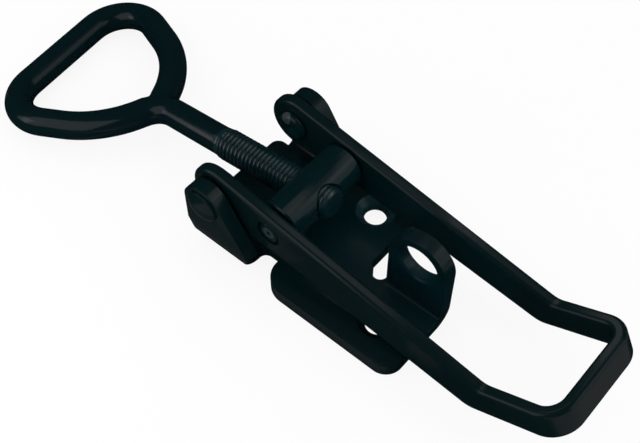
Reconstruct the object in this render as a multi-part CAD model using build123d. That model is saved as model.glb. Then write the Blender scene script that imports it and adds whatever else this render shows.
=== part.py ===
"""Over-centre toggle latch: base plate with ears and padlock tab, U-shaped lever, trunnion and loop bolt.

Frame in millimetres: X runs from the loop (-) to the handle (+), Y across the latch, Z up from the mounting
plane. X = 0 is under the lever's pivot axis, Y = 0 is the middle plane, Z = 0 is the base plate's underside.
"""
import os
from math import asin, cos, radians, sin, sqrt, tan

from build123d import *

# ---------------------------------------------------------------- driving dimensions
# Pivots, seen from the side
PIVOT_HEIGHT = 20.3          # lever's pivot axis above the mounting plane
TRUNNION_OFFSET = 19.8       # trunnion axis beyond the pivot, towards the handle
TRUNNION_HEIGHT = 18.9       # trunnion axis above the mounting plane: below the pivot, so past dead centre

# Fits
RUNNING_CLEARANCE = 0.05     # radial, for every pin that turns in its hole
SEAT_CLEARANCE = 0.02        # radial, for a rivet shank set in its ear
SIDE_CLEARANCE = 0.3         # between faces that slide past each other

# Lever: one strip on edge, bent to a U
LEVER_WIDTH = 38.0           # over both arms
STRIP_THICKNESS = 4.0
STRIP_EDGE_RADIUS = 1.3      # tumbled edges all round the strip
LUG_RADIUS = 8.9             # round end of each arm, about the pivot
LUG_BLEND_RADIUS = 6.0       # between the lug and the arm's lower edge
ARM_LENGTH = 92.0            # pivot to the kink, along the base
ARM_TOP_SLOPE = 9.2          # degrees, the top edge leaves the lug and falls towards the handle
ARM_DEPTH_AT_PIVOT = 16.6
ARM_DEPTH_AT_KINK = 11.1
HANDLE_RISE = 27.5           # degrees, the handle end rises above the base
HANDLE_LENGTH = 25.0         # kink to the crosspiece's outer face, along the top edge
HANDLE_DEPTH = 8.9
HANDLE_CORNER_RADIUS = 8.5   # outer corners, seen square to the handle end
KINK_TOP_RADIUS = 5.0
KINK_BOTTOM_RADIUS = 8.0

# Base plate: one bent sheet
BASE_THICKNESS = 4.5
EAR_GAP = 1.0                # between each arm and its ear
EAR_RADIUS = 6.9             # top of the ear, about the pivot
EAR_REAR_SLOPE = 58.0        # degrees, the ear's rear edge falls towards the handle
EAR_BEND_RADIUS = 2.5        # inner radius of the bend
EAR_CORNER_RADIUS = 1.5      # corners of the ear's outline near its foot
EAR_REAR = 16.8              # rearmost corner of the ear, from the pivot
EAR_ROOT = 14.4              # rear end of the bend, where the relief starts
EAR_FRONT_ROOT = 5.0         # front end of the bend, ahead of the pivot
EAR_FRONT_STEP = 9.6         # the ear's front edge slants back to the bend below this height
EAR_FRONT_SLANT = 3.6        # height of the slant
FLOOR_FRONT = 9.6            # floor's front edge ahead of the pivot
FLOOR_CORNER_RADIUS = 3.0    # front corners of the floor
RELIEF_WIDTH = 6.9           # gap between the ear's bend and the flange
RELIEF_DEPTH = 2.4           # the gap reaches this far in past the bend, its corners rounded to match
FLANGE_WIDTH = 50.0          # over both flanges
FLANGE_REAR_RADIUS = 5.5
FAR_FLOOR_END = 42.2         # floor's rear edge on the far side, where the tab was folded out
FAR_CORNER_RADIUS = 5.0

# Padlock tab, folded up on the middle plane
TAB_CENTRE = 59.0            # tab's middle beyond the pivot
TAB_WIDTH = 19.2             # its rear edge ends the near side's floor
TAB_HOLE_HEIGHT = 22.1
TAB_HOLE_RADIUS = 6.4
TAB_RIM_RADIUS = 0.8         # rounding of the hole's two rims
TAB_BEND_RADIUS = 1.2        # inner radius of the bend
NOTCH_BOTTOM = -1.1          # bottom of the notch beside the tab's root, from the middle plane
NOTCH_CORNER_RADIUS = 2.2

# Countersunk screw holes
SCREW_HOLE_RADIUS = 3.5
SCREW_HEAD_RADIUS = 6.0
SCREW_CONE_ANGLE = 90.0
FAR_SCREW = (31.6, 15.4)
NEAR_SCREW = (55.4, -13.6)

# Rivets
RIVET_RADIUS = 3.0
RIVET_HEAD_RADIUS = 5.3
RIVET_HEAD_RISE = 2.2
RIVET_HEAD_RIM = 0.6         # straight part of the head's edge, under its dome
PEEN_RADIUS = 4.9            # closed head inside the arm
PEEN_RISE = 1.9
PEEN_ROUNDING = 1.7
PEEN_DIMPLE_RADIUS = 1.7
PEEN_DIMPLE_DEPTH = 0.8

# Trunnion
TRUNNION_RADIUS = 6.9
TRUNNION_END_GAP = 0.7       # bar's end face to the arm's inner face
TRUNNION_CHAMFER = 0.5
CROSS_HOLE_CHAMFER = 0.5     # mouths of the hole that the bolt runs through
JOURNAL_RADIUS = 4.0
JOURNAL_CHAMFER = 0.9
JOURNAL_RECESS = 0.3         # journal end inside the arm's outer face

# Loop bolt; lengths run from the trunnion axis towards the loop
THREAD_RADIUS = 4.95         # crest of the M10 thread
SHANK_RADIUS = 4.5
THREAD_TAIL = 8.2            # thread beyond the trunnion axis, towards the handle
THREAD_END_CHAMFER = 1.0
THREAD_START = 35.2
NECK_BEND = 63.1             # where the shank's line meets the leg's line
NECK_ANGLE = 68.4            # degrees, the leg leaves the shank
NECK_RADIUS = 9.0
NECK_SEAM = 1.0              # the bar's free end stops short of the neck's corner by this much
LEG_ANGLE = 22.8             # degrees, the far part of each leg opens from the shank's line
NECK_TO_KNEE = 7.0           # along the shank's line, to where the leg's two directions meet
KNEE_RADIUS = 35.4
KNEE_TO_BAR = 38.3           # along the shank's line, to the far bar's middle line
LOOP_CORNER_RADIUS = 12.3
LOOP_LEAN = 2.3              # degrees, the loop leans to the near side about the neck
BAR_SKEW = 3.3               # degrees, the far bar is out of square, longer on the far side

# ---------------------------------------------------------------- derived places
arm_outer = LEVER_WIDTH / 2
arm_inner = arm_outer - STRIP_THICKNESS
ear_inner = arm_outer + EAR_GAP
ear_outer = ear_inner + BASE_THICKNESS
half_flange = FLANGE_WIDTH / 2
flange_front = EAR_ROOT + RELIEF_WIDTH
bend_start = ear_inner - EAR_BEND_RADIUS   # the floor is flat up to here
tab_front = TAB_CENTRE - TAB_WIDTH / 2
tab_rear = TAB_CENTRE + TAB_WIDTH / 2
trunnion_axis = Vector(TRUNNION_OFFSET, 0, TRUNNION_HEIGHT)
both_sides = (-1, 1)         # near side (-Y), far side (+Y)
reach = 2 * (ARM_LENGTH + HANDLE_LENGTH)   # longer than anything it cuts


def side_prism(outline, y_low, y_high):
    """Extrude an XZ outline from y_low to y_high."""
    prism = extrude(Plane.XZ * outline, amount=-(y_high - y_low))
    return Pos(0, y_low, 0) * prism


def cross_prism(outline, x_low, x_high):
    """Extrude a YZ outline from x_low to x_high."""
    prism = extrude(Plane.YZ * outline, amount=x_high - x_low)
    return Pos(x_low, 0, 0) * prism


def cross_cylinder(radius, y_low, y_high, x, z):
    """Cylinder along Y between two stations."""
    middle = Pos(x, (y_low + y_high) / 2, z)
    return middle * Rot(90, 0, 0) * Cylinder(radius, y_high - y_low)


# ---------------------------------------------------------------- base plate
def ear_outline():
    """Side outline of an ear: root in the bend, round top about the pivot, sloping rear edge."""
    slope = radians(EAR_REAR_SLOPE)
    leave_x = EAR_RADIUS * sin(slope)
    leave_z = PIVOT_HEIGHT + EAR_RADIUS * cos(slope)
    rear_z = leave_z - (EAR_REAR - leave_x) * tan(slope)
    corners = [
        (-EAR_FRONT_ROOT, 0),
        (EAR_ROOT, 0),
        (EAR_ROOT, BASE_THICKNESS),
        (EAR_REAR, rear_z),
        (leave_x, leave_z),
        (0, PIVOT_HEIGHT),
        (-EAR_RADIUS, PIVOT_HEIGHT),
        (-EAR_RADIUS, EAR_FRONT_STEP),
        (-EAR_FRONT_ROOT, EAR_FRONT_STEP - EAR_FRONT_SLANT),
    ]
    foot = Polygon(*corners, align=None)
    rounded = [corners[2], corners[3], corners[7], corners[8]]
    for x, z in rounded:
        foot = fillet(foot.vertices().sort_by_distance((x, z, 0))[0], radius=EAR_CORNER_RADIUS)
    return foot + Pos(0, PIVOT_HEIGHT) * Circle(EAR_RADIUS)


def bend_section(face_y, radius, thickness, top, start):
    """Cross-section of a sheet that runs along +Y from start and turns up, its inner face ending at face_y."""
    bend_y = face_y - radius
    outer = radius + thickness
    edges = [
        Line((start, 0), (bend_y, 0)),
        TangentArc((bend_y, 0), (bend_y + outer, outer), tangent=(1, 0)),
        Line((bend_y + outer, outer), (bend_y + outer, top)),
        Line((bend_y + outer, top), (face_y, top)),
        Line((face_y, top), (face_y, outer)),
        TangentArc((face_y, outer), (bend_y, thickness), tangent=(0, -1)),
        Line((bend_y, thickness), (start, thickness)),
        Line((start, thickness), (start, 0)),
    ]
    return make_face(edges)


def ear(side):
    """One ear with its bend; side is -1 for near and +1 for far."""
    section = bend_section(ear_inner, EAR_BEND_RADIUS, BASE_THICKNESS, PIVOT_HEIGHT + EAR_RADIUS, 0)
    blank = cross_prism(section, -EAR_RADIUS, EAR_REAR)
    profile = side_prism(ear_outline(), 0, ear_outer)
    hole = cross_cylinder(RIVET_RADIUS + SEAT_CLEARANCE, 0, reach, 0, PIVOT_HEIGHT)
    shape = (blank & profile) - hole
    return shape if side > 0 else mirror(shape, Plane.XZ)


def flange_floor(side, inner_y, rear, rear_radius):
    """Plan of the floor behind one ear, from inner_y out to the flange's edge, its outer corners rounded."""
    outer_y = side * half_flange
    middle = Pos((flange_front + rear) / 2, (inner_y + outer_y) / 2)
    plan = middle * Rectangle(rear - flange_front, abs(outer_y - inner_y))
    for x, radius in ((flange_front, half_flange - bend_start), (rear, rear_radius)):
        corner = plan.vertices().sort_by_distance((x, outer_y, 0))[0]
        plan = fillet(corner, radius=radius)
    return plan


def relief(side):
    """Plan of the gap between an ear's bend and the flange behind it, its two inner corners rounded."""
    middle = Pos(EAR_ROOT + RELIEF_WIDTH / 2, side * (bend_start - RELIEF_DEPTH + reach / 2))
    gap = middle * Rectangle(RELIEF_WIDTH, reach)
    corners = gap.vertices().sort_by(lambda vertex: abs(vertex.Y))[:2]
    return fillet(corners, radius=RELIEF_DEPTH)


def floor_plate():
    """Flat floor between the ears and out to the flanges, shorter on the far side."""
    middle_x = (flange_front - FLOOR_FRONT) / 2
    plan = Pos(middle_x, 0) * Rectangle(flange_front + FLOOR_FRONT, 2 * bend_start)
    plan = fillet(plan.vertices().group_by(Axis.X)[0], radius=FLOOR_CORNER_RADIUS)
    # the two lengths of floor meet where the notch's corner ends
    step_y = NOTCH_BOTTOM + NOTCH_CORNER_RADIUS
    plan += flange_floor(-1, step_y, tab_rear, FLANGE_REAR_RADIUS)
    plan += flange_floor(1, step_y, FAR_FLOOR_END, FAR_CORNER_RADIUS)
    for side in both_sides:
        plan -= relief(side)
    return extrude(plan, BASE_THICKNESS)


def padlock_tab():
    """Tab folded up out of the floor, round over its hole, standing on the middle plane."""
    face_y = -BASE_THICKNESS / 2
    top = TAB_HOLE_HEIGHT + TAB_WIDTH / 2
    floor_overlap = face_y - TAB_BEND_RADIUS - BASE_THICKNESS
    section = bend_section(face_y, TAB_BEND_RADIUS, BASE_THICKNESS, top, floor_overlap)
    blank = cross_prism(section, tab_front, tab_rear)
    outline = Pos(TAB_CENTRE, TAB_HOLE_HEIGHT / 2) * Rectangle(TAB_WIDTH, TAB_HOLE_HEIGHT)
    outline += Pos(TAB_CENTRE, TAB_HOLE_HEIGHT) * Circle(TAB_WIDTH / 2)
    outline -= Pos(TAB_CENTRE, TAB_HOLE_HEIGHT) * Circle(TAB_HOLE_RADIUS)
    tab = blank & side_prism(outline, -reach / 2, reach / 2)
    rims = tab.edges().filter_by(lambda edge: edge.is_closed)
    return fillet(rims, radius=TAB_RIM_RADIUS)


def tab_clearance():
    """Cut that frees the tab from the floor: the far strip, and a notch beside the tab's root."""
    root_y = -BASE_THICKNESS / 2 - TAB_BEND_RADIUS
    behind = Pos(tab_front + reach / 2, root_y + reach / 2) * Rectangle(reach, reach)
    notch_middle = (FAR_FLOOR_END + tab_front) / 2
    notch = Pos(notch_middle, NOTCH_BOTTOM + reach / 2) * Rectangle(tab_front - FAR_FLOOR_END, reach)
    corner = notch.vertices().sort_by_distance((FAR_FLOOR_END, NOTCH_BOTTOM, 0))[0]
    notch = fillet(corner, radius=NOTCH_CORNER_RADIUS)
    return extrude(notch + behind, BASE_THICKNESS)


def countersunk_hole(place):
    """Screw hole through the floor with a cone for the screw's head."""
    x, y = place
    cone_depth = (SCREW_HEAD_RADIUS - SCREW_HOLE_RADIUS) / tan(radians(SCREW_CONE_ANGLE / 2))
    bore = Pos(x, y, BASE_THICKNESS / 2) * Cylinder(SCREW_HOLE_RADIUS, 2 * BASE_THICKNESS)
    cone = Pos(x, y, BASE_THICKNESS - cone_depth / 2) * Cone(SCREW_HOLE_RADIUS, SCREW_HEAD_RADIUS, cone_depth)
    return bore + cone


def base_plate():
    """The whole bent sheet as one solid."""
    plate = floor_plate() - tab_clearance()
    plate += padlock_tab()
    for side in both_sides:
        plate += ear(side)
    for place in (FAR_SCREW, NEAR_SCREW):
        plate -= countersunk_hole(place)
    return plate


# ---------------------------------------------------------------- lever
def lever_outline():
    """Side outline of the lever: lug, tapering arm, kink and handle end."""
    slope = radians(ARM_TOP_SLOPE)
    along = Vector(cos(slope), -sin(slope))
    square_up = Vector(sin(slope), cos(slope))
    centre = Vector(0, PIVOT_HEIGHT)
    top_start = centre + square_up * LUG_RADIUS
    kink_travel = (ARM_LENGTH - top_start.X) / along.X
    top_kink = top_start + along * kink_travel
    low_start = top_start - square_up * ARM_DEPTH_AT_PIVOT
    low_kink = top_kink - square_up * ARM_DEPTH_AT_KINK
    rise = radians(HANDLE_RISE)
    handle_along = Vector(cos(rise), sin(rise))
    handle_up = Vector(-sin(rise), cos(rise))
    top_end = top_kink + handle_along * HANDLE_LENGTH
    low_end = top_end - handle_up * HANDLE_DEPTH
    # the two lower edges meet below the kink
    low_direction = low_kink - low_start
    gap = low_end - low_start
    denominator = low_direction.X * handle_along.Y - low_direction.Y * handle_along.X
    share = (gap.X * handle_along.Y - gap.Y * handle_along.X) / denominator
    low_corner = low_start + low_direction * share
    corners = (low_start, low_corner, low_end, top_end, top_kink, top_start)
    blade = Polygon(*[(corner.X, corner.Y) for corner in corners], align=None)
    top_vertex = blade.vertices().sort_by_distance((top_kink.X, top_kink.Y, 0))[0]
    blade = fillet(top_vertex, radius=KINK_TOP_RADIUS)
    low_vertex = blade.vertices().sort_by_distance((low_corner.X, low_corner.Y, 0))[0]
    blade = fillet(low_vertex, radius=KINK_BOTTOM_RADIUS)
    outline = blade + Pos(0, PIVOT_HEIGHT) * Circle(LUG_RADIUS)
    heel = outline.vertices().sort_by_distance((low_start.X, low_start.Y, 0))[0]
    return fillet(heel, radius=LUG_BLEND_RADIUS), top_end


def round_strip(body):
    """Round the long edges of the strip; the handle's smooth outer and inner corners have none."""
    rise = radians(HANDLE_RISE)
    handle_up = Vector(-sin(rise), 0, cos(rise))
    chosen = []
    for edge in body.edges():
        straight = edge.geom_type == GeomType.LINE
        seam = straight and abs((edge % 0.5).dot(handle_up)) > 0.999
        across = straight and abs((edge % 0.5).Y) > 0.999 and edge.length < STRIP_THICKNESS + STRIP_EDGE_RADIUS
        if not seam and not across:
            chosen.append(edge)
    return fillet(chosen, radius=STRIP_EDGE_RADIUS)


def lever():
    """One U-shaped strip: the side outline across the full width, hollowed between the arms."""
    outline, top_end = lever_outline()
    body = side_prism(outline, -arm_outer, arm_outer)
    # plane of the handle end, its X pointing out of the crosspiece and its origin on the outer face
    rise = radians(HANDLE_RISE)
    handle_plane = Plane(
        origin=(top_end.X, 0, top_end.Y),
        x_dir=(cos(rise), 0, sin(rise)),
        z_dir=(-sin(rise), 0, cos(rise)),
    )
    outer = Pos(-reach / 2, 0) * Rectangle(reach, LEVER_WIDTH)
    outer = fillet(outer.vertices().group_by(Axis.X)[-1], radius=HANDLE_CORNER_RADIUS)
    inner = Pos(-reach / 2 - STRIP_THICKNESS, 0) * Rectangle(reach, 2 * arm_inner)
    inner = fillet(inner.vertices().group_by(Axis.X)[-1], radius=HANDLE_CORNER_RADIUS - STRIP_THICKNESS)
    strip = extrude(handle_plane * (outer - inner), reach / 2, both=True)
    body = body & strip
    body = round_strip(body)
    body -= cross_cylinder(RIVET_RADIUS + RUNNING_CLEARANCE, -reach / 2, reach / 2, 0, PIVOT_HEIGHT)
    body -= cross_cylinder(
        JOURNAL_RADIUS + RUNNING_CLEARANCE, -reach / 2, reach / 2, TRUNNION_OFFSET, TRUNNION_HEIGHT
    )
    return body


# ---------------------------------------------------------------- rivets
def dome_point(rim_radius, rim_y, top_y):
    """Point half way out on a spherical dome that falls from top_y on the axis to rim_y at its rim."""
    height = top_y - rim_y
    sphere = (rim_radius**2 + height**2) / (2 * height)
    half_way = rim_radius / 2
    return half_way, top_y - sphere + sqrt(sphere**2 - half_way**2)


def pivot_rivet(side):
    """Rivet through ear and arm: domed head outside, peened head with a dimple inside."""
    peen_face = arm_inner - SIDE_CLEARANCE
    peen_top = peen_face - PEEN_RISE
    dome_top = ear_outer + RIVET_HEAD_RISE
    dome_rim = ear_outer + RIVET_HEAD_RIM
    dome_middle = dome_point(RIVET_HEAD_RADIUS, dome_rim, dome_top)
    shoulder = PEEN_RADIUS - PEEN_ROUNDING
    edges = [
        Line((0, peen_top + PEEN_DIMPLE_DEPTH), (0, dome_top)),
        ThreePointArc((0, dome_top), dome_middle, (RIVET_HEAD_RADIUS, dome_rim)),
        Line((RIVET_HEAD_RADIUS, dome_rim), (RIVET_HEAD_RADIUS, ear_outer)),
        Line((RIVET_HEAD_RADIUS, ear_outer), (RIVET_RADIUS, ear_outer)),
        Line((RIVET_RADIUS, ear_outer), (RIVET_RADIUS, peen_face)),
        Line((RIVET_RADIUS, peen_face), (PEEN_RADIUS, peen_face)),
        Line((PEEN_RADIUS, peen_face), (PEEN_RADIUS, peen_top + PEEN_ROUNDING)),
        TangentArc((PEEN_RADIUS, peen_top + PEEN_ROUNDING), (shoulder, peen_top), tangent=(0, -1)),
        Line((shoulder, peen_top), (PEEN_DIMPLE_RADIUS, peen_top)),
        Line((PEEN_DIMPLE_RADIUS, peen_top), (0, peen_top + PEEN_DIMPLE_DEPTH)),
    ]
    shape = Pos(0, 0, PIVOT_HEIGHT) * revolve(make_face(edges), Axis.Y)
    return shape if side > 0 else mirror(shape, Plane.XZ)


# ---------------------------------------------------------------- trunnion and loop bolt
def loop_path():
    """Middle line of the bar in the loop's plane, X along the shank, from its thread round to the neck."""
    neck = radians(NECK_ANGLE)
    leg = radians(LEG_ANGLE)
    skew = tan(radians(BAR_SKEW))
    knee_y = NECK_TO_KNEE * tan(neck)
    # each leg's outer line meets the skewed far bar
    corners = []
    for side in both_sides:
        travel = (KNEE_TO_BAR + side * knee_y * skew) / (1 - side * skew * tan(leg))
        corners.append((NECK_TO_KNEE + travel, -side * (knee_y + travel * tan(leg))))
    loop = [(NECK_TO_KNEE, knee_y), *corners, (NECK_TO_KNEE, -knee_y), (NECK_SEAM, -NECK_SEAM * tan(neck))]
    leaned = [Vector(x, y).rotate(Axis.Z, LOOP_LEAN) + Vector(NECK_BEND, 0) for x, y in loop]
    radii = [NECK_RADIUS, KNEE_RADIUS, LOOP_CORNER_RADIUS, LOOP_CORNER_RADIUS, KNEE_RADIUS]
    return FilletPolyline((THREAD_START, 0), (NECK_BEND, 0), *leaned, radius=radii)


def rod_plane():
    """Plane of the loop: origin on the trunnion axis, X towards the loop along the shank, Y across."""
    # the shank falls from the trunnion until the loop's far bar lies on the mounting plane
    tilt = asin((TRUNNION_HEIGHT - SHANK_RADIUS) / loop_path().bounding_box().max.X)
    return Plane(origin=trunnion_axis, x_dir=(-cos(tilt), 0, -sin(tilt)), z_dir=(-sin(tilt), 0, cos(tilt)))


def trunnion():
    """Round bar across the arms with a journal at each end and a cross hole for the thread."""
    half_bar = arm_inner - TRUNNION_END_GAP
    journal_end = arm_outer - JOURNAL_RECESS
    bar = cross_cylinder(TRUNNION_RADIUS, -half_bar, half_bar, TRUNNION_OFFSET, TRUNNION_HEIGHT)
    bar = chamfer(bar.edges().filter_by(GeomType.CIRCLE), TRUNNION_CHAMFER)
    journal = cross_cylinder(JOURNAL_RADIUS, -journal_end, journal_end, TRUNNION_OFFSET, TRUNNION_HEIGHT)
    rims = journal.edges().filter_by(GeomType.CIRCLE)
    journal = chamfer(rims, JOURNAL_CHAMFER)
    hole_radius = THREAD_RADIUS + RUNNING_CLEARANCE
    hole = extrude(rod_plane() * Rot(0, 90, 0) * Circle(hole_radius), TRUNNION_RADIUS * 2, both=True)
    drilled = bar + journal - hole
    mouths = drilled.edges().filter_by(GeomType.BSPLINE)
    return chamfer(mouths, CROSS_HOLE_CHAMFER)


def loop_bolt():
    """Threaded shank and bent loop as one bar, its end welded to the neck."""
    plane = rod_plane()
    path = plane * loop_path()
    section = Plane(origin=path @ 0, z_dir=path % 0) * Circle(SHANK_RADIUS)
    loop = sweep(section, path=path)
    thread_length = THREAD_START + THREAD_TAIL
    thread = Rot(0, 90, 0) * Cylinder(THREAD_RADIUS, thread_length)
    thread = Pos(THREAD_START - thread_length / 2, 0, 0) * thread
    tip = thread.edges().filter_by(GeomType.CIRCLE).sort_by(Axis.X)[0]
    thread = chamfer(tip, THREAD_END_CHAMFER)
    return loop + plane * thread


# ---------------------------------------------------------------- output
def main():
    os.makedirs("parts", exist_ok=True)
    nodes = {
        "base_plate": base_plate(),
        "lever": lever(),
        "near_pivot_rivet": pivot_rivet(-1),
        "far_pivot_rivet": pivot_rivet(1),
        "trunnion": trunnion(),
        "loop_bolt": loop_bolt(),
    }
    for name, shape in nodes.items():
        export_step(shape, f"parts/{name}.step")


main()
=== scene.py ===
"""Looks of an over-centre toggle latch: black coated steel, rolled thread, soft studio light.

Lengths are in metres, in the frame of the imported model: X runs from the loop to the handle, Y across the
latch, Z up from its mounting face.
"""
import logging
import math
from dataclasses import dataclass, field
from enum import Enum
from typing import Optional, Union

import bpy
from mathutils import Matrix, Vector

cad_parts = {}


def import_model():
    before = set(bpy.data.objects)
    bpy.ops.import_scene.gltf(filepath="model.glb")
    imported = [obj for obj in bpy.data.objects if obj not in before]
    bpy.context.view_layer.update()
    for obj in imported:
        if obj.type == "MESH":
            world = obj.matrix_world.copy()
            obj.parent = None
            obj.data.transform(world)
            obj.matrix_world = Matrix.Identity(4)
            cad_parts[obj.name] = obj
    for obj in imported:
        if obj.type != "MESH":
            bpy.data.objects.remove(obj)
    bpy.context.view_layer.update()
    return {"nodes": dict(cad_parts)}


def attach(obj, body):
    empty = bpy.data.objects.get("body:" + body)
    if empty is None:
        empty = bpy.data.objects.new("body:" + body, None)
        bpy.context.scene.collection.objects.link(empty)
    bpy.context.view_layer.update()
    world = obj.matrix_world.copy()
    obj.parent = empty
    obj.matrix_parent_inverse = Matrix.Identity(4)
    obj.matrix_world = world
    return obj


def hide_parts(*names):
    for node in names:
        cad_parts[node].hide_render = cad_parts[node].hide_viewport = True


LOG = logging.getLogger("latch")
MM = 0.001
MERGE_GAP = 0.001 * MM
WHITE = (1.0, 1.0, 1.0)
TRUNNION_X_MM = 19.8
TRUNNION_Z_MM = 18.9
LOOP_Z_MM = 4.5
LOOP_DISTANCE_MM = 109.8815
JOURNAL_END = (TRUNNION_X_MM * MM, -18.8 * MM, TRUNNION_Z_MM * MM)


# ---------------------------------------------------------------- shader maths
class Wire:
    """A shader value; Python operators on it add Math nodes."""

    def __init__(self, sheet: "NodeSheet", socket: bpy.types.NodeSocket) -> None:
        """Keep the socket and the sheet that it lies on."""
        self.sheet = sheet
        self.socket = socket

    def _maths(self, operation: str, *operands: Union["Wire", float]) -> "Wire":
        """Add one Math node.

        Args:
            operation: The Math node's operation.
            operands: Its inputs in order.

        Returns:
            The node's result.
        """
        inputs = dict(enumerate(operands))
        return self.sheet.add("ShaderNodeMath", {"operation": operation}, inputs)

    def __add__(self, other: Union["Wire", float]) -> "Wire":
        """Sum."""
        return self._maths("ADD", self, other)

    def __radd__(self, other: float) -> "Wire":
        """Sum with the number first."""
        return self._maths("ADD", other, self)

    def __sub__(self, other: Union["Wire", float]) -> "Wire":
        """Difference."""
        return self._maths("SUBTRACT", self, other)

    def __rsub__(self, other: float) -> "Wire":
        """Difference with the number first."""
        return self._maths("SUBTRACT", other, self)

    def __mul__(self, other: Union["Wire", float]) -> "Wire":
        """Product."""
        return self._maths("MULTIPLY", self, other)

    def clamped(self, low: float, high: float) -> "Wire":
        """Limit the value between two numbers.

        Args:
            low: Least value.
            high: Greatest value.

        Returns:
            The limited value.
        """
        return self._maths("MINIMUM", self._maths("MAXIMUM", self, low), high)


class NodeSheet:
    """A node tree that is filled one node at a time."""

    def __init__(self, tree: bpy.types.NodeTree) -> None:
        """Empty the tree and keep it."""
        self.tree = tree
        self.tree.nodes.clear()

    def add(
        self,
        kind: str,
        settings: Optional[dict] = None,
        inputs: Optional[dict] = None,
        output: Union[int, str] = 0,
    ) -> Wire:
        """Add one node.

        Args:
            kind: The node's type name.
            settings: Properties set before the sockets.
            inputs: Values or wires by socket name or number.
            output: Which output to hand back.

        Returns:
            A wire from the node's output.
        """
        node = self.tree.nodes.new(kind)
        for name, value in (settings or {}).items():
            setattr(node, name, value)
        for name, value in (inputs or {}).items():
            socket = node.inputs[name]
            if isinstance(value, Wire):
                self.tree.links.new(value.socket, socket)
            else:
                socket.default_value = value
        outlet = node.outputs[output] if len(node.outputs) else None
        return Wire(self, outlet)

    def mix_colour(self, share: Wire, first: Union[Wire, tuple], second: Union[Wire, tuple]) -> Wire:
        """Blend two colours.

        Args:
            share: How much of the second colour shows.
            first: Colour at share 0.
            second: Colour at share 1.

        Returns:
            The blended colour.
        """
        inputs = {0: share, 6: self._rgba(first), 7: self._rgba(second)}
        return self.add("ShaderNodeMix", {"data_type": "RGBA"}, inputs, 2)

    @staticmethod
    def _rgba(colour: Union[Wire, tuple]) -> Union[Wire, tuple]:
        """Give a plain colour its fourth number."""
        return colour if isinstance(colour, Wire) else (*colour, 1.0)


@dataclass(frozen=True)
class Band:
    """Stretch of one axis with soft ends; an end that is left out stays open.

    The share is 0 at an end and rises inwards to 1, at that end's rate per metre.
    """

    axis: str
    start: Optional[float] = None
    end: Optional[float] = None
    start_rate: float = 200.0
    end_rate: float = 200.0

    def share(self, sheet: NodeSheet, place: Wire) -> Wire:
        """Tell how far inside the stretch a point lies.

        Args:
            sheet: Where the nodes go.
            place: The coordinates that they read.

        Returns:
            The share, from 0 outside to 1 inside.
        """
        along = sheet.add("ShaderNodeSeparateXYZ", {}, {"Vector": place}, self.axis)
        sides = []
        if self.start is not None:
            sides.append(((along - self.start) * self.start_rate).clamped(0.0, 1.0))
        if self.end is not None:
            sides.append(((self.end - along) * self.end_rate).clamped(0.0, 1.0))
        return sides[0] if len(sides) == 1 else sides[0] * sides[1]


def inside_all(sheet: NodeSheet, place: Wire, bands: tuple) -> Wire:
    """Multiply the shares of several bands.

    Args:
        sheet: Where the nodes go.
        place: The coordinates that they read.
        bands: The bands.

    Returns:
        The share, from 0 outside to 1 inside all of them.
    """
    share = bands[0].share(sheet, place)
    for band in bands[1:]:
        share = share * band.share(sheet, place)
    return share


# ---------------------------------------------------------------- finishes
class Grain(Enum):
    """Which way the steel under the coating was worked."""

    PLAIN = "plain"
    DRAWN_ALONG_X = "drawn along x"
    TURNED_ACROSS_Y = "turned across y"


@dataclass(frozen=True)
class Spot:
    """Round patch of another colour in a coat."""

    centre: tuple
    radius: float
    colour: tuple
    blend: float = 0.25 * MM

    def paint(self, sheet: NodeSheet, place: Wire, under: Wire) -> Wire:
        """Lay the patch over a colour.

        Args:
            sheet: Where the nodes go.
            place: The coordinates that they read.
            under: The colour round it.

        Returns:
            The colour with the patch.
        """
        ends = {0: place, 1: self.centre}
        away = sheet.add("ShaderNodeVectorMath", {"operation": "DISTANCE"}, ends, "Value")
        share = ((self.radius - away) * (1.0 / self.blend)).clamped(0.0, 1.0)
        return sheet.mix_colour(share, under, self.colour)


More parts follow.
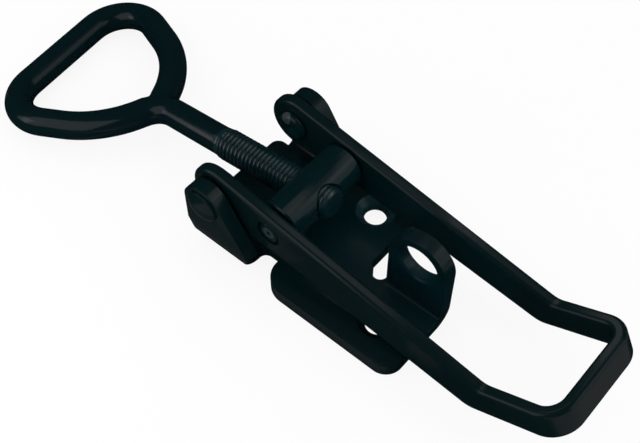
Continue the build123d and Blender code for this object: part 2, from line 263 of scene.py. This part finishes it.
@dataclass(frozen=True)
class BlackCoat:
    """Thin black dip coating on steel: smooth satin with a faint flow texture.

    Between the lever's arms it has a lighter teal, painted light that brightens the shade there, and each
    spot lies over that.
    """

    name: str
    deep: tuple = (0.0006, 0.0070, 0.0083)
    thin: tuple = (0.0013, 0.0100, 0.0118)
    roughness: float = 0.20
    roughness_spread: float = 0.05
    cloud_size: float = 9.0 * MM
    cloud_octaves: float = 3.0
    cloud_weight: float = 0.75
    flow_size: float = 1.6 * MM
    flow_octaves: float = 2.0
    flow_depth: float = 0.012 * MM
    grain: Grain = Grain.PLAIN
    grain_size: float = 0.35 * MM
    grain_octaves: float = 2.0
    grain_depth: float = 0.004 * MM
    edge_radius: float = 0.30 * MM
    edge_samples: int = 6
    index: float = 1.5
    # painted light: surfaces between the lever's arms get a lighter teal, which brightens the shade that
    # falls there
    painted_recess_light: tuple = (0.0010, 0.0140, 0.0175)
    painted_recess_zone: tuple = (
        Band("Y", -15.8 * MM, 15.8 * MM, 900.0, 900.0),
        Band("X", -4.0 * MM, 85.0 * MM, 200.0, 100.0),
        Band("Z", end=25.0 * MM, end_rate=150.0),
    )
    spots: tuple = ()

    def material(self) -> bpy.types.Material:
        """Build the coating.

        Returns:
            The new material.
        """
        paint = bpy.data.materials.new(self.name)
        paint.use_nodes = True
        sheet = NodeSheet(paint.node_tree)
        place = sheet.add("ShaderNodeTexCoord", output="Object")
        cloud = self._noise(sheet, place, self.cloud_size, self.cloud_octaves)
        flow = self._noise(sheet, place, self.flow_size, self.flow_octaves)
        grain = self._grain(sheet, place)
        share = (cloud * self.cloud_weight + flow * (1.0 - self.cloud_weight)).clamped(0.0, 1.0)
        colour = sheet.mix_colour(share, self.deep, self.thin)
        # painted light between the arms, laid over the coat's own colour
        colour = sheet.mix_colour(inside_all(sheet, place, self.painted_recess_zone), colour, self.painted_recess_light)
        for spot in self.spots:
            colour = spot.paint(sheet, place, colour)
        gloss = self.roughness + (cloud - 0.5) * self.roughness_spread
        relief = flow * self.flow_depth + grain * self.grain_depth
        edge = sheet.add("ShaderNodeBevel", {"samples": self.edge_samples}, {"Radius": self.edge_radius})
        surface = {"Strength": 1.0, "Distance": 1.0, "Height": relief, "Normal": edge}
        bump = sheet.add("ShaderNodeBump", {}, surface)
        look = {"Base Color": colour, "Roughness": gloss, "Normal": bump, "IOR": self.index}
        shader = sheet.add("ShaderNodeBsdfPrincipled", {}, look)
        sheet.add("ShaderNodeOutputMaterial", {}, {"Surface": shader})
        paint.diffuse_color = (*self.thin, 1.0)
        return paint

    @staticmethod
    def _noise(sheet: NodeSheet, place: Wire, size: float, octaves: float) -> Wire:
        """Add a noise of one grain size.

        Args:
            sheet: Where the node goes.
            place: The coordinates that it reads.
            size: Size of one blotch in metres.
            octaves: How many finer layers it has.

        Returns:
            The noise, from 0 to 1.
        """
        inputs = {"Vector": place, "Scale": 1.0 / size, "Detail": octaves}
        return sheet.add("ShaderNodeTexNoise", {}, inputs)

    def _grain(self, sheet: NodeSheet, place: Wire) -> Wire:
        """Add the steel's grain, drawn out along its working direction.

        Args:
            sheet: Where the nodes go.
            place: The coordinates that they read.

        Returns:
            The grain, from 0 to 1.
        """
        stretch = {
            Grain.PLAIN: (1.0, 1.0, 1.0),
            Grain.DRAWN_ALONG_X: (0.04, 1.0, 1.0),
            Grain.TURNED_ACROSS_Y: (1.0, 3.0, 1.0),
        }[self.grain]
        drawn = sheet.add("ShaderNodeMapping", {}, {"Vector": place, "Scale": stretch})
        return self._noise(sheet, drawn, self.grain_size, self.grain_octaves)


# ---------------------------------------------------------------- mesh helpers
def deselect_all() -> None:
    """Leave edit mode and clear the selection."""
    if bpy.context.mode != "OBJECT":
        bpy.ops.object.mode_set(mode="OBJECT")
    bpy.ops.object.select_all(action="DESELECT")


def pick(piece: bpy.types.Object) -> None:
    """Make one object the only one selected, and active."""
    deselect_all()
    piece.select_set(True)
    bpy.context.view_layer.objects.active = piece


def settle(piece: bpy.types.Object) -> None:
    """Put the object's place into its mesh, so that the object sits at the origin."""
    pick(piece)
    bpy.ops.object.transform_apply(location=True, rotation=True, scale=True)


def dress(piece: bpy.types.Object, paint: bpy.types.Material) -> None:
    """Give a piece one material all over."""
    piece.data.materials.clear()
    piece.data.materials.append(paint)


def apply_modifier(piece: bpy.types.Object, kind: str, **settings: object) -> None:
    """Add a modifier and apply it.

    Args:
        piece: The object.
        kind: The modifier's type.
        settings: Its properties.
    """
    pick(piece)
    modifier = piece.modifiers.new(kind.title(), kind)
    for name, value in settings.items():
        setattr(modifier, name, value)
    bpy.ops.object.modifier_apply(modifier=modifier.name)


def open_copy(node: bpy.types.Object, name: str) -> bpy.types.Object:
    """Copy a piece of the frame, open the copy in edit mode and join its loose triangles.

    Args:
        node: The piece.
        name: The copy's name.

    Returns:
        The copy, still in edit mode with everything selected.
    """
    piece = bpy.data.objects.new(name, node.data.copy())
    bpy.context.scene.collection.objects.link(piece)
    pick(piece)
    bpy.ops.object.mode_set(mode="EDIT")
    bpy.ops.mesh.select_all(action="SELECT")
    bpy.ops.mesh.remove_doubles(threshold=MERGE_GAP)
    return piece


# ---------------------------------------------------------------- pressed and turned pieces of the frame
@dataclass
class CoatedNodes:
    """Lever, rivets and trunnion, whose solids are already right: they only get their coats.

    The spots are painted: a painted highlight on the far rivet's peen, with painted shade in its dimple, and
    a painted highlight on the near journal's end, with painted shade in its centre.
    """

    nodes: dict
    strip_coat: BlackCoat = BlackCoat("coat_strip", grain=Grain.DRAWN_ALONG_X, roughness=0.22)
    rivet_coat: BlackCoat = BlackCoat(
        "coat_rivet",
        roughness=0.18,
        spots=(
            # painted highlight: a lighter disc on the far rivet's peen
            Spot((-1.3 * MM, 13.7 * MM, 23.4 * MM), 2.0 * MM, (0.0300, 0.0400, 0.0430)),
            # painted shade: a darker dot in the peen's dimple
            Spot((-1.5 * MM, 13.7 * MM, 23.0 * MM), 0.6 * MM, (0.0080, 0.0130, 0.0150)),
        ),
    )
    turned_coat: BlackCoat = BlackCoat(
        "coat_turned",
        grain=Grain.TURNED_ACROSS_Y,
        roughness=0.15,
        spots=(
            # painted highlight: a lighter disc on the near journal's end
            Spot(JOURNAL_END, 2.2 * MM, (0.0200, 0.0330, 0.0370)),
            # painted shade: a dark dot in the journal end's centre
            Spot(JOURNAL_END, 0.8 * MM, (0.0006, 0.0032, 0.0040)),
        ),
    )

    def dress(self) -> None:
        """Coat each piece."""
        coats = {
            "lever": self.strip_coat,
            "near_pivot_rivet": self.rivet_coat,
            "far_pivot_rivet": self.rivet_coat,
            "trunnion": self.turned_coat,
        }
        made: dict = {}
        for node, coat in coats.items():
            if coat.name not in made:
                made[coat.name] = coat.material()
            dress(self.nodes[node], made[coat.name])
            LOG.info("coated %s with %s", node, coat.name)


# ---------------------------------------------------------------- base plate
@dataclass
class BasePlate:
    """The bent sheet, its notch drilled round and its cut edges broken.

    The coat's spot lightens the cone of the far screw hole to cyan: partly a thinner coat there, partly a
    painted highlight.
    """

    node: bpy.types.Object
    thickness: float = 4.5 * MM
    notch_centre: tuple = (46.3 * MM, -1.0 * MM)
    notch_radius: float = 2.4 * MM
    notch_sides: int = 48
    flange_front: float = 21.3 * MM
    flange_lip: float = 3.9 * MM
    relief_bottom: float = 15.1 * MM
    flange_edge: float = 24.0 * MM
    lip_overlap: float = 0.8 * MM
    edge_break: float = 0.35 * MM
    break_steps: int = 2
    flat_angle: float = math.radians(0.5)
    sharp_angle: float = math.radians(50.0)
    smooth_angle: float = math.radians(26.0)
    coat: BlackCoat = BlackCoat(
        "coat_sheet",
        # thinner coat on the far screw hole's cone, and a painted highlight there
        spots=(Spot((31.6 * MM, 15.4 * MM, -2.0 * MM), 8.88 * MM, (0.0070, 0.0290, 0.0350), 0.08 * MM),),
    )

    def sheet(self) -> bpy.types.Object:
        """Copy the sheet from the frame, with whole faces in place of triangles.

        Returns:
            The copy.
        """
        piece = open_copy(self.node, "base_sheet")
        bpy.ops.mesh.dissolve_limited(angle_limit=self.flat_angle)
        bpy.ops.object.mode_set(mode="OBJECT")
        return piece

    def drill(self) -> bpy.types.Object:
        """Round bar that clears the notch beside the tab.

        Returns:
            The cutter.
        """
        deselect_all()
        bpy.ops.mesh.primitive_cylinder_add(
            vertices=self.notch_sides,
            radius=self.notch_radius,
            depth=3.0 * self.thickness,
            location=(*self.notch_centre, self.thickness / 2),
        )
        bar = bpy.context.active_object
        settle(bar)
        return bar

    def lip(self) -> bpy.types.Object:
        """Front end of the far flange, which narrows the gap behind the far ear.

        Returns:
            The slab to add.
        """
        deselect_all()
        length = self.flange_lip + self.lip_overlap
        width = self.flange_edge - self.relief_bottom + self.lip_overlap
        x = self.flange_front - self.flange_lip / 2 + self.lip_overlap / 2
        y = (self.relief_bottom + self.flange_edge) / 2 - self.lip_overlap / 2
        bpy.ops.mesh.primitive_cube_add(size=1.0, location=(x, y, self.thickness / 2))
        slab = bpy.context.active_object
        slab.scale = (length, width, self.thickness)
        settle(slab)
        return slab

    def combine(self, piece: bpy.types.Object, tool: bpy.types.Object, operation: str) -> None:
        """Cut or add another solid, which is used up.

        Args:
            piece: The sheet.
            tool: The other solid.
            operation: DIFFERENCE or UNION.
        """
        apply_modifier(piece, "BOOLEAN", object=tool, operation=operation, solver="EXACT")
        bpy.data.objects.remove(tool)

    def build(self) -> None:
        """Make the sheet and put it in the solid's place."""
        piece = self.sheet()
        self.combine(piece, self.drill(), "DIFFERENCE")
        self.combine(piece, self.lip(), "UNION")
        apply_modifier(
            piece,
            "BEVEL",
            width=self.edge_break,
            segments=self.break_steps,
            limit_method="ANGLE",
            angle_limit=self.sharp_angle,
            use_clamp_overlap=True,
        )
        bpy.ops.object.shade_smooth_by_angle(angle=self.smooth_angle)
        dress(piece, self.coat.material())
        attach(piece, "base")
        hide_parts("base_plate")
        LOG.info("made %s with %d faces", piece.name, len(piece.data.polygons))


# ---------------------------------------------------------------- loop bolt
@dataclass
class LoopBolt:
    """Bent round bar with a rolled thread on its shank.

    The bar's free end is rounded and blended into the neck, as a weld.
    """

    node: bpy.types.Object
    trunnion_axis: Vector = field(default_factory=lambda: Vector((TRUNNION_X_MM, 0.0, TRUNNION_Z_MM)) * MM)
    tilt: float = math.asin((TRUNNION_Z_MM - LOOP_Z_MM) / LOOP_DISTANCE_MM)
    thread_start: float = 35.2 * MM
    thread_tail: float = 8.2 * MM
    crest_radius: float = 4.95 * MM
    root_radius: float = 4.25 * MM
    shank_radius: float = 4.5 * MM
    pitch: float = 1.5 * MM
    crest_share: float = 0.12
    flank_share: float = 0.52
    tip_chamfer: float = 1.0 * MM
    run_out: float = 2.2 * MM
    rows_per_pitch: int = 8
    turn_steps: int = 64
    seam_gap: float = 0.002 * MM
    bar_gap: float = 0.05 * MM
    thread_lap: float = 0.3 * MM
    end_segments: int = 48
    end_rings: int = 24
    bead_size: float = 0.42 * MM
    bead_passes: int = 10
    smoothing: float = 0.5
    free_end: Vector = field(default_factory=lambda: Vector((64.2, -2.48, 0.0)) * MM)
    weld_reach: float = 8.5 * MM
    weld_fade: float = 0.4
    weld_passes: int = 30
    smooth_angle: float = math.radians(40.0)
    thread_coat: BlackCoat = BlackCoat(
        "coat_thread", deep=(0.0020, 0.0120, 0.0150), thin=(0.0060, 0.0220, 0.0270), roughness=0.17, index=1.9
    )
    coat: BlackCoat = BlackCoat(
        "coat_bolt", deep=(0.0008, 0.0064, 0.0080), thin=(0.0016, 0.0092, 0.0114), roughness=0.15
    )

    def along(self) -> Matrix:
        """Where a mesh built along +X from the trunnion axis goes, to lie along the shank towards the loop.

        Returns:
            The place and turn.
        """
        towards_loop = Vector((-math.cos(self.tilt), 0.0, -math.sin(self.tilt)))
        up = Vector((-math.sin(self.tilt), 0.0, math.cos(self.tilt)))
        across = up.cross(towards_loop)
        turn = Matrix((towards_loop, across, up)).transposed().to_4x4()
        return Matrix.Translation(self.trunnion_axis) @ turn

    def bar(self) -> bpy.types.Object:
        """Copy the bent bar from the frame, up to where the thread starts.

        Returns:
            The bar.
        """
        piece = open_copy(self.node, "loop_bar")
        place = self.along()
        cut = place @ Vector((self.thread_start + self.bar_gap, 0.0, 0.0))
        normal = place.to_3x3() @ Vector((1.0, 0.0, 0.0))
        bpy.ops.mesh.bisect(plane_co=cut, plane_no=normal, use_fill=True, clear_inner=True)
        weld = place @ self.free_end
        bpy.ops.mesh.primitive_uv_sphere_add(
            segments=self.end_segments, ring_count=self.end_rings, radius=self.shank_radius, location=weld
        )
        bpy.ops.object.mode_set(mode="OBJECT")
        apply_modifier(piece, "REMESH", mode="VOXEL", voxel_size=self.bead_size)
        apply_modifier(piece, "SMOOTH", factor=self.smoothing, iterations=self.bead_passes)
        joint = piece.vertex_groups.new(name="joint")
        for vertex in piece.data.vertices:
            near = (self.weld_reach - (vertex.co - weld).length) / (self.weld_fade * self.weld_reach)
            joint.add([vertex.index], min(max(near, 0.0), 1.0), "REPLACE")
        apply_modifier(
            piece, "SMOOTH", factor=self.smoothing, iterations=self.weld_passes, vertex_group=joint.name
        )
        bpy.ops.object.shade_smooth()
        return piece

    def thread_radius(self, along: float, station: float) -> float:
        """Radius of the threaded shank.

        Args:
            along: Place along the thread's own helix, in pitches.
            station: Place along the shank in metres, from the trunnion axis towards the loop.

        Returns:
            The radius in metres.
        """
        phase = along % 1.0
        flank = abs(phase - 0.5) * 2.0
        rise = min(max((flank - self.crest_share) / self.flank_share, 0.0), 1.0)
        radius = self.root_radius + (self.crest_radius - self.root_radius) * rise
        left = (self.thread_start - station) / self.run_out
        fade = min(max(left, 0.0), 1.0)
        radius = self.shank_radius + (radius - self.shank_radius) * fade
        tip = station + self.thread_tail
        cone = self.crest_radius - self.tip_chamfer + max(tip, 0.0)
        return min(radius, cone)

    def thread(self) -> bpy.types.Object:
        """Roll the thread: a tall tube whose rows follow the helix, drawn in and out to the thread's form.

        Returns:
            The threaded shank.
        """
        low = -self.thread_tail
        high = self.thread_start + self.thread_lap
        pitches = math.ceil((high - low) / self.pitch) + 2
        rows = pitches * self.rows_per_pitch
        deselect_all()
        bpy.ops.mesh.primitive_grid_add(x_subdivisions=rows, y_subdivisions=self.turn_steps, size=2.0)
        piece = bpy.context.active_object
        piece.name = "bolt_thread"
        start = low - self.pitch
        for vertex in piece.data.vertices:
            row = round((vertex.co.x + 1.0) / 2.0 * rows)
            step = round((vertex.co.y + 1.0) / 2.0 * self.turn_steps)
            angle = 2.0 * math.pi * step / self.turn_steps
            pitch_place = row / self.rows_per_pitch
            station = start + (pitch_place + step / self.turn_steps) * self.pitch
            radius = self.thread_radius(pitch_place, station)
            vertex.co = (station, radius * math.cos(angle), radius * math.sin(angle))
        pick(piece)
        bpy.ops.object.mode_set(mode="EDIT")
        bpy.ops.mesh.select_all(action="SELECT")
        bpy.ops.mesh.remove_doubles(threshold=self.seam_gap)
        for station, side in ((low, False), (high, True)):
            bpy.ops.mesh.select_all(action="SELECT")
            bpy.ops.mesh.bisect(
                plane_co=(station, 0.0, 0.0),
                plane_no=(1.0, 0.0, 0.0),
                use_fill=True,
                clear_inner=not side,
                clear_outer=side,
            )
        bpy.ops.mesh.select_all(action="SELECT")
        bpy.ops.mesh.normals_make_consistent(inside=False)
        bpy.ops.object.mode_set(mode="OBJECT")
        piece.matrix_world = self.along()
        settle(piece)
        bpy.ops.object.shade_smooth_by_angle(angle=self.smooth_angle)
        return piece

    def build(self) -> None:
        """Make the bar and its thread, and put them in the solid's place."""
        for piece, coat in ((self.bar(), self.coat), (self.thread(), self.thread_coat)):
            dress(piece, coat.material())
            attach(piece, "loop_bolt")
            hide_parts("loop_bolt")
            LOG.info("made %s with %d faces", piece.name, len(piece.data.polygons))


# ---------------------------------------------------------------- studio
@dataclass(frozen=True)
class Card:
    """A soft light panel that faces the latch and is hidden from the camera."""

    name: str
    direction: tuple
    distance: float
    width: float
    height: float
    radiance: float
    colour: tuple
    aim: tuple = (0.012, 0.0, 0.012)

    def build(self) -> None:
        """Hang the panel, facing its aim."""
        data = bpy.data.lights.new(self.name, "AREA")
        data.shape = "RECTANGLE"
        data.size = self.width
        data.size_y = self.height
        data.energy = self.radiance * self.width * self.height * math.pi
        data.color = self.colour
        lamp = bpy.data.objects.new(self.name, data)
        bpy.context.scene.collection.objects.link(lamp)
        outward = Vector(self.direction).normalized()
        lamp.location = Vector(self.aim) + outward * self.distance
        lamp.rotation_euler = outward.to_track_quat("Z", "Y").to_euler()
        lamp.visible_camera = False


@dataclass
class Studio:
    """White surroundings, a pale floor, light panels and the camera.

    In reflections the dome is almost black, and the floor is dim but for three patches: beyond the handle,
    before the near ear and along the near flange.
    """

    camera_place: Vector = field(default_factory=lambda: Vector((144.86, -143.89, 272.01)) * MM)
    view_direction: Vector = field(default_factory=lambda: Vector((-0.37549, 0.44262, -0.81433)))
    focal_pixels: float = 1108.0
    image_width: float = 640.0
    sensor_width: float = 36.0
    clip_start: float = 0.01
    clip_end: float = 50.0
    floor_half: float = 3.0
    floor_drop: float = 0.15 * MM
    floor_colour: tuple = (0.86, 0.86, 0.86)
    floor_glow: float = 0.88
    dome_sheen: tuple = (0.004, 0.006, 0.007)
    floor_sheen: tuple = (0.01, 0.01, 0.01)
    front_sheen: tuple = (0.16, 0.14, 0.14)
    beyond_sheen: tuple = (0.185, 0.160, 0.155)
    beyond_handle: Band = Band("X", start=134.0 * MM, start_rate=90.0)
    before_ear: tuple = (
        Band("Y", end=-23.5 * MM, end_rate=300.0),
        Band("X", -25.0 * MM, 18.0 * MM, 200.0, 300.0),
    )
    # painted shade: the floor's reflected patch before the ear dims towards the latch
    close_in: Band = Band("Y", start=-50.0 * MM, start_rate=80.0)
    close_in_painted_shade: float = 0.76
    along_flange: tuple = (
        Band("Y", -28.5 * MM, -23.5 * MM, 500.0, 300.0),
        Band("X", end=78.0 * MM, end_rate=200.0),
    )
    along_flange_share: float = 0.7
    cards: tuple = (
        Card(
            "card_right",
            direction=(0.815, 0.380, 0.438),
            distance=0.90,
            width=0.76,
            height=0.70,
            radiance=0.30,
            colour=(0.94, 1.0, 1.05),
        ),
        Card(
            "card_right_core",
            direction=(0.480, 0.480, 0.735),
            distance=0.89,
            width=0.40,
            height=0.58,
            radiance=0.08,
            colour=(1.04, 1.0, 1.03),
        ),
        Card(
            "card_near_loop",
            direction=(-0.069, -0.785, 0.616),
            distance=0.16,
            width=0.20,
            height=0.17,
            radiance=0.46,
            colour=(1.02, 1.0, 1.04),
            aim=(-0.055, -0.012, 0.008),
        ),
        Card(
            "card_left_of_loop",
            direction=(-0.5185, -0.7687, 0.3746),
            distance=0.15,
            width=0.06,
            height=0.07,
            radiance=0.55,
            colour=(1.04, 1.0, 1.04),
            aim=(-0.060, -0.015, 0.008),
        ),
        Card(
            "strip_over_near_arm",
            direction=(-0.02, 0.48, 0.877),
            distance=0.06,
            width=0.052,
            height=0.024,
            radiance=0.34,
            colour=(1.12, 1.0, 1.0),
            aim=(0.038, -0.017, 0.030),
        ),
        Card(
            "strip_by_far_lug",
            direction=(0.0, 0.452, 0.892),
            distance=0.022,
            width=0.030,
            height=0.006,
            radiance=0.13,
            colour=(1.08, 1.0, 1.0),
            aim=(0.027, 0.017, 0.028),
        ),
        Card(
            "strip_over_far_arm",
            direction=(0.0, 0.50, 0.866),
            distance=0.06,
            width=0.086,
            height=0.018,
            radiance=0.16,
            colour=(1.10, 1.0, 1.0),
            aim=(0.068, 0.017, 0.027),
        ),
        Card(
            "strip_beside_handle",
            direction=(-0.76, 0.535, 0.36),
            distance=0.06,
            width=0.020,
            height=0.028,
            radiance=0.42,
            colour=(1.06, 1.0, 1.0),
            aim=(0.106, 0.017, 0.034),
        ),
    )

    def camera(self) -> None:
        """Set up the camera."""
        data = bpy.data.cameras.new("view")
        data.sensor_fit = "HORIZONTAL"
        data.sensor_width = self.sensor_width
        data.lens = self.focal_pixels / self.image_width * self.sensor_width
        data.clip_start = self.clip_start
        data.clip_end = self.clip_end
        eye = bpy.data.objects.new("view", data)
        bpy.context.scene.collection.objects.link(eye)
        eye.location = self.camera_place
        eye.rotation_euler = self.view_direction.to_track_quat("-Z", "Y").to_euler()
        bpy.context.scene.camera = eye

    def surroundings(self) -> None:
        """Paint the dome: white to the eye, bright as a lamp, dim in reflections."""
        world = bpy.data.worlds.new("dome")
        bpy.context.scene.world = world
        world.use_nodes = True
        sheet = NodeSheet(world.node_tree)
        seen = sheet.add("ShaderNodeLightPath", output="Is Camera Ray")
        glossy = sheet.add("ShaderNodeLightPath", output="Is Glossy Ray")
        colour = sheet.mix_colour(glossy, WHITE, self.dome_sheen)
        colour = sheet.mix_colour(seen, colour, WHITE)
        dome = sheet.add("ShaderNodeBackground", {}, {"Color": colour, "Strength": 1.0})
        sheet.add("ShaderNodeOutputWorld", {}, {"Surface": dome})

    def floor(self) -> None:
        """Lay the pale floor."""
        deselect_all()
        bpy.ops.mesh.primitive_plane_add(size=2.0 * self.floor_half, location=(0.0, 0.0, -self.floor_drop))
        slab = bpy.context.active_object
        slab.name = "floor"
        paint = bpy.data.materials.new("floor_paper")
        paint.use_nodes = True
        sheet = NodeSheet(paint.node_tree)
        seen = sheet.add("ShaderNodeLightPath", output="Is Camera Ray")
        glossy = sheet.add("ShaderNodeLightPath", output="Is Glossy Ray")
        colour = sheet.mix_colour(glossy, self.floor_colour, self._paper_sheen(sheet))
        matt = sheet.add("ShaderNodeBsdfDiffuse", {}, {"Color": colour})
        white = sheet.add("ShaderNodeEmission", {}, {"Color": (*WHITE, 1.0), "Strength": 1.0})
        paper = sheet.add("ShaderNodeMixShader", {}, {0: seen * self.floor_glow, 1: matt, 2: white})
        sheet.add("ShaderNodeOutputMaterial", {}, {"Surface": paper})
        dress(slab, paint)

    def _paper_sheen(self, sheet: NodeSheet) -> Wire:
        """Colour of the paper in reflections.

        Args:
            sheet: Where the nodes go.

        Returns:
            The colour.
        """
        place = sheet.add("ShaderNodeTexCoord", output="Object")
        before_ear = inside_all(sheet, place, self.before_ear)
        along_flange = inside_all(sheet, place, self.along_flange)
        # painted shade close to the latch, in the floor's reflected colour
        painted_shade_near_latch = self.close_in.share(sheet, place).clamped(0.0, self.close_in_painted_shade)
        front = (before_ear * (1.0 - painted_shade_near_latch) + along_flange * self.along_flange_share).clamped(0.0, 1.0)
        shown = sheet.mix_colour(front, self.floor_sheen, self.front_sheen)
        return sheet.mix_colour(self.beyond_handle.share(sheet, place), shown, self.beyond_sheen)

    def build(self) -> None:
        """Set up everything around the latch."""
        bpy.context.scene.view_settings.view_transform = "Standard"
        self.camera()
        self.surroundings()
        self.floor()
        for card in self.cards:
            card.build()
            LOG.info("hung %s", card.name)


def main() -> None:
    """Build the latch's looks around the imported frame."""
    logging.basicConfig(level=logging.INFO, format="%(name)s: %(message)s")
    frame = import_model()
    Studio().build()
    CoatedNodes(frame["nodes"]).dress()
    BasePlate(frame["nodes"]["base_plate"]).build()
    LoopBolt(frame["nodes"]["loop_bolt"]).build()


if __name__ == "__main__":
    main()
